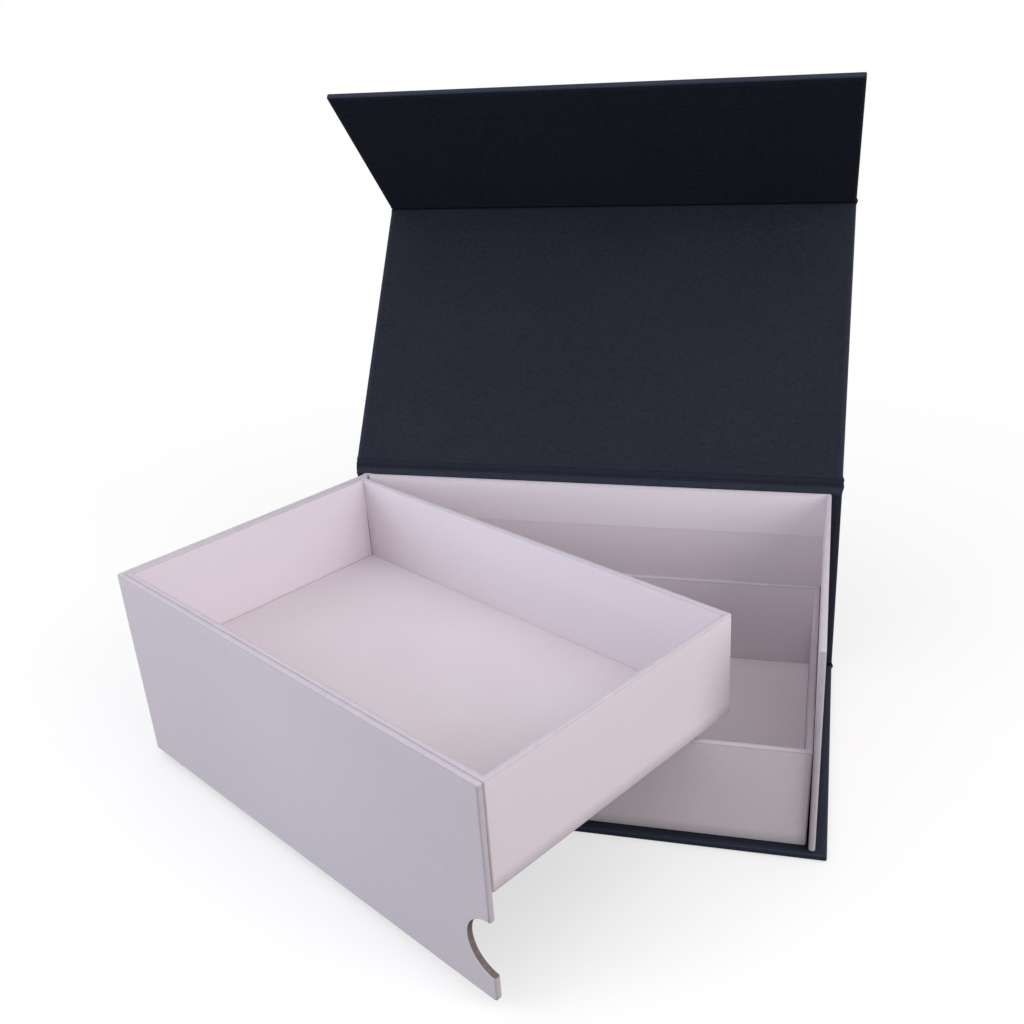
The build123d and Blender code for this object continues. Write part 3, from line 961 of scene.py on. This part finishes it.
board_right, board_back, board_top = RIGHT - PAPER, BACK - PAPER, RIM - PAPER
wall_blocks = (
    ("back_wall", (back_wall_end + PAPER, board_right), (board_back - BOARD, board_back),
     (BASE_TOP, board_top), as_drawn, "root"),
    ("right_wall", (board_right - BOARD, board_right), (board_front, board_back),
     (BASE_TOP, board_top), as_drawn, "root"),
    ("left_panel", (board_left, board_left + BOARD), (board_front + BOARD, board_back - PANEL_SET_BACK),
     (PANEL_FOOT + PAPER, board_top), swung, "tray"))
for name, x_range, y_range, z_range, turned, body in wall_blocks:
    grey_piece(name, turned(board_block(x_range, y_range, z_range)), body, name + "_board")

low_corner, high_corner = node_box("lower_tray_wrap")
trays = (
    ("upper", (LEFT + WALL, FREE_EDGE), (FRONT + WALL + TRAY_CLEARANCE, BACK - WALL - SWING_GAP),
     RIM - TRAY_HEIGHT, swung, "tray"),
    ("lower", (low_corner[0], high_corner[0]), (low_corner[1], high_corner[1]), BASE_TOP, leant, "root"))
for name, x_range, y_range, bottom, turned, body in trays:
    tray = name + "_tray"
    points, edge = tray_body(x_range, y_range, bottom)
    lilac_piece(tray + "_wrapped", turned(points), body, tray + "_wrap", edge)
    make_piece(tray + "_floor_paper", turned(tray_floor(x_range, y_range, bottom)), lilac_floor, body,
               [tray + "_floor_liner"])
    (x0, x1), (y0, y1) = np.array([x_range, y_range]) + np.array([PAPER, -PAPER])
    sides = (("front", (x0, x1), (y0, y0 + BOARD)),
             ("back", (x0, x1), (y1 - BOARD, y1)),
             ("left", (x0, x0 + BOARD), (y0 + BOARD, y1 - BOARD)),
             ("right", (x1 - BOARD, x1), (y0 + BOARD, y1 - BOARD)))
    for side, across, deep in sides:
        points = board_block(across, deep, (bottom + PAPER, bottom + TRAY_HEIGHT - PAPER))
        node = "_".join((tray, side, "wall"))
        grey_piece(node, turned(points), body, node)

# Nodes that no piece stands for: the magnets, the discs and the boards of the tray floors
finishes = {"flap_magnets": magnet_steel, "panel_steel_discs": disc_steel}
for name, node in frame["nodes"].items():
    for material_slot in node.material_slots:
        material_slot.material = finishes.get(name, greyboard)

# ---------------------------------------------------------------- floor, light and camera

# The floor, in metres, and its fade into the white background: its share of white near the box and far
# from it, from one distance to the other
FLOOR_LEVEL = -0.0004
FLOOR_RADII = (0.0, 0.3, 0.6, 1.0, 2.0, 6.0, 20.0)
FLOOR_WHITE = (0.55, 1.0)
FADE_FROM, FADE_TO = 0.25, 0.6
FLOOR_BOUNCE = (0.12, 0.105, 0.1, 1.0)
WHITE = (1.0, 1.0, 1.0, 1.0)


def floor_material():
    """Pale matt floor that turns into the white background away from the box."""
    material, tree, shader = new_material("pale floor")
    shader.inputs["Roughness"].default_value = 0.9
    shader.inputs["Specular IOR Level"].default_value = 0.1
    away = add(tree, "ShaderNodeVectorMath", {"operation": "LENGTH"}, n0=object_place(tree))
    far = spread(tree, away.outputs["Value"], FADE_FROM, FADE_TO, *FLOOR_WHITE)
    white = add(tree, "ShaderNodeEmission", Color=WHITE, Strength=1.0).outputs[0]
    seen = add(tree, "ShaderNodeLightPath").outputs["Is Camera Ray"]
    colour = blend_colour(tree, seen, FLOOR_BOUNCE, srgb(250, 250, 250))
    tree.links.new(colour, shader.inputs["Base Color"])
    mixed = add(tree, "ShaderNodeMixShader", n0=math(tree, "MULTIPLY", far, seen),
                n1=shader.outputs[0], n2=white)
    tree.links.new(mixed.outputs[0], tree.nodes["Material Output"].inputs["Surface"])
    return material


def hang_light(name, kind, place, aim, power, colour, **settings):
    """A soft lamp, given where it stands and where it looks."""
    lamp = bpy.data.lights.new(name, kind)
    lamp.energy, lamp.color = power, colour
    for key, value in settings.items():
        setattr(lamp, key, value)
    thing = bpy.data.objects.new(name, lamp)
    thing.location = place
    thing.rotation_euler = (Vector(aim) - Vector(place)).to_track_quat("-Z", "Y").to_euler()
    bpy.context.scene.collection.objects.link(thing)


radii = np.array(FLOOR_RADII)[:, None]
turn = np.linspace(0, 2 * pi, FLOOR_POINTS)[None, :]
disc = np.broadcast_arrays(radii * np.cos(turn), radii * np.sin(turn), FLOOR_LEVEL)
floor = make_piece("floor", np.stack(disc, -1) / MM, floor_material(), closed=False)
if floor.data.polygons[0].normal.z < 0:
    floor.data.flip_normals()

BOX_MIDDLE = (0.0, 0.0, 0.08)
hang_light("right light", "AREA", place=(1.0, -0.45, 0.6), aim=BOX_MIDDLE, power=8.5,
           colour=(1.0, 0.975, 0.97), size=0.8)
hang_light("left light", "AREA", place=(-1.0, -0.5, 0.5), aim=BOX_MIDDLE, power=6.4,
           colour=(0.84, 0.915, 1.0), size=0.7)
hang_light("overhead light", "AREA", place=(0.0, 0.0, 1.3), aim=BOX_MIDDLE, power=5.2,
           colour=(1.0, 0.985, 0.98), size=1.8)
hang_light("window gleam", "SPOT", place=(-0.48, -0.82, 0.17), aim=(-0.08, -0.125, 0.056), power=4.2,
           colour=(0.5, 0.7, 1.0), spot_size=radians(17), spot_blend=1.0, shadow_soft_size=0.12)

# The room shows white to the camera and in reflections, and lights the box less.
ROOM_LIGHT = 0.57
ROOM_TINT = (1.0, 0.99, 1.0, 1.0)
world = bpy.data.worlds.new("soft room")
bpy.context.scene.world = world
world.use_nodes = True
tree = world.node_tree
tree.nodes.clear()
rays = tree.nodes.new("ShaderNodeLightPath").outputs
mirrored = math(tree, "MAXIMUM", rays["Is Glossy Ray"], rays["Is Transmission Ray"])
shown = math(tree, "MAXIMUM", rays["Is Camera Ray"], mirrored)
strength = spread(tree, shown, 0.0, 1.0, ROOM_LIGHT, 1.0)
tint = blend_colour(tree, shown, ROOM_TINT, WHITE)
room = add(tree, "ShaderNodeBackground", Color=tint, Strength=strength)
tree.links.new(room.outputs[0], tree.nodes.new("ShaderNodeOutputWorld").inputs["Surface"])

# Camera fitted to the box's measured corners and edges. The frame is square.
FOCAL, CENTRE_X, CENTRE_Y, FRAME = 1156.22, 527.77, 520.31, 1024.0
PITCH, ROLL, YAW = 0.43831, -0.0649, -0.2723
CAMERA_PLACE = (0.119218, -0.472807, 0.345439)
SENSOR = 36.0
forward = np.array([sin(YAW) * cos(PITCH), cos(YAW) * cos(PITCH), -sin(PITCH)])
level_right = np.array([cos(YAW), -sin(YAW), 0.0])
level_up = np.cross(level_right, forward)
right = level_right * cos(ROLL) + level_up * sin(ROLL)
up = -level_right * sin(ROLL) + level_up * cos(ROLL)
lens = bpy.data.cameras.new("camera")
lens.sensor_width = SENSOR
lens.lens = FOCAL * SENSOR / FRAME
lens.shift_x = (FRAME / 2 - CENTRE_X) / FRAME
lens.shift_y = (CENTRE_Y - FRAME / 2) / FRAME
lens.clip_start = 0.01
camera = bpy.data.objects.new("camera", lens)
turned_frame = Matrix(np.column_stack([right, up, -forward]).tolist()).to_4x4()
camera.matrix_world = Matrix.Translation(CAMERA_PLACE) @ turned_frame
bpy.context.scene.collection.objects.link(camera)
bpy.context.scene.camera = camera
bpy.context.scene.view_settings.view_transform = "Standard"
